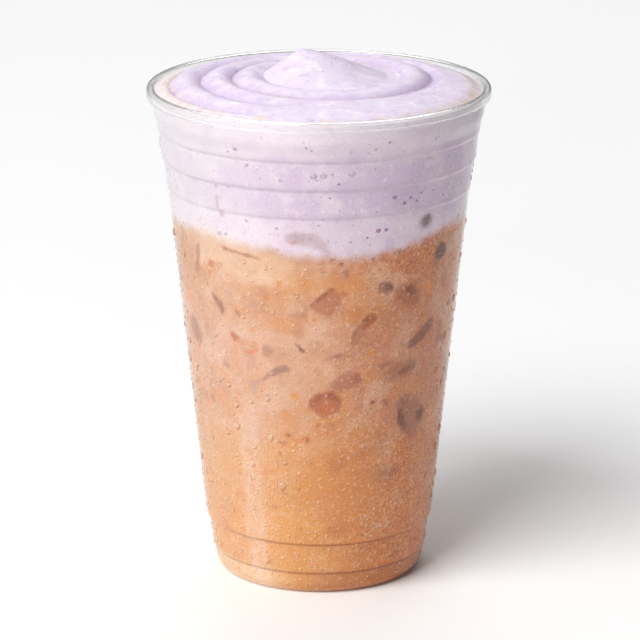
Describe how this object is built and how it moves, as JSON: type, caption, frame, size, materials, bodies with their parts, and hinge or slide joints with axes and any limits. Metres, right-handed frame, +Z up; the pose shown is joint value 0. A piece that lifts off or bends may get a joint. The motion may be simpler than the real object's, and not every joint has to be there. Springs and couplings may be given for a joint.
{
  "type": "iced chai latte in clear cup",
  "caption": "Iced milky chai under a thick layer of lilac cold foam with a spooned swirl and peak, filled to the rim of a tall clear plastic cup.",
  "frame": {"origin": "centre of the cup's standing ring, on the surface it stands on", "axes": "+Z up along the cup's axis; the foam's peak leans towards -X"},
  "size_m": [0.098, 0.098, 0.1526],
  "materials": {
    "clear_plastic": "clear, smooth and glossy",
    "milky_tea": "opaque milky drink, smooth",
    "lilac_foam": "soft, satin foam",
    "foam_specks": "fine purple flecks",
    "ice": "clear ice, wet",
    "water": "clear water drops"
  },
  "bodies": {
    "root": {"cup": "clear_plastic", "latte": "milky_tea", "cold_foam": "lilac_foam"}
  },
  "joints": []
}
